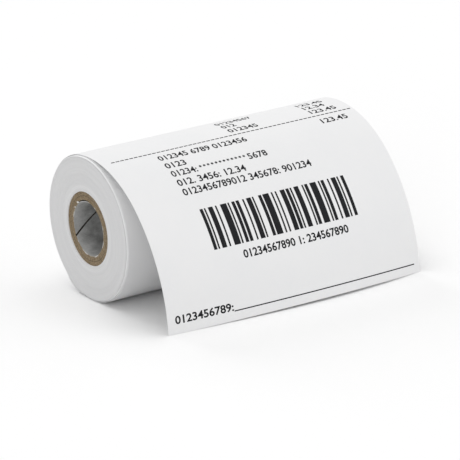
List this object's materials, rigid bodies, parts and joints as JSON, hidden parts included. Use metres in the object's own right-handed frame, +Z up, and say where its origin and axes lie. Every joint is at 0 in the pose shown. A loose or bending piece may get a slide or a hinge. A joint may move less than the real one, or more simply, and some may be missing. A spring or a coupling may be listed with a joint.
{
  "type": "thermal paper till roll",
  "caption": "Roll of thermal till paper on a spiral-wound cardboard core, its printed end drawn off over the front and standing on the table.",
  "frame": {"origin": "middle of the core's bore, halfway along the roll", "axes": "+X along the bore towards the roll's right end, +Z up, and the printed end falls towards -Y"},
  "size_m": [0.0799, 0.0575, 0.0399],
  "materials": {
    "liner_paper": "matte grey liner paper",
    "core_board": "raw brown core board",
    "wound_paper": "cut paper edges, matte",
    "thermal_paper": "smooth white thermal coating"
  },
  "bodies": {
    "drawn_turn": {"outer_turn": "thermal_paper"},
    "wound_roll": {"core_liner_ply": "liner_paper", "core_inner_board_ply": "core_board", "core_outer_board_ply": "core_board", "paper_winding": "wound_paper"},
    "free_end": {"printed_end": "thermal_paper"}
  },
  "joints": [
    {"name": "roll_turn", "type": "hinge", "parent": "drawn_turn", "child": "wound_roll", "pos_m": [0, 0, 0], "axis": [1, 0, 0], "continuous": true},
    {"name": "tail_lift", "type": "hinge", "parent": "drawn_turn", "child": "free_end", "pos_m": [0, 0.00226, 0.01987], "axis": [-1, 0, 0], "range_deg": [0, 60], "stiffness_Nm_per_rad": 0.0002}
  ]
}
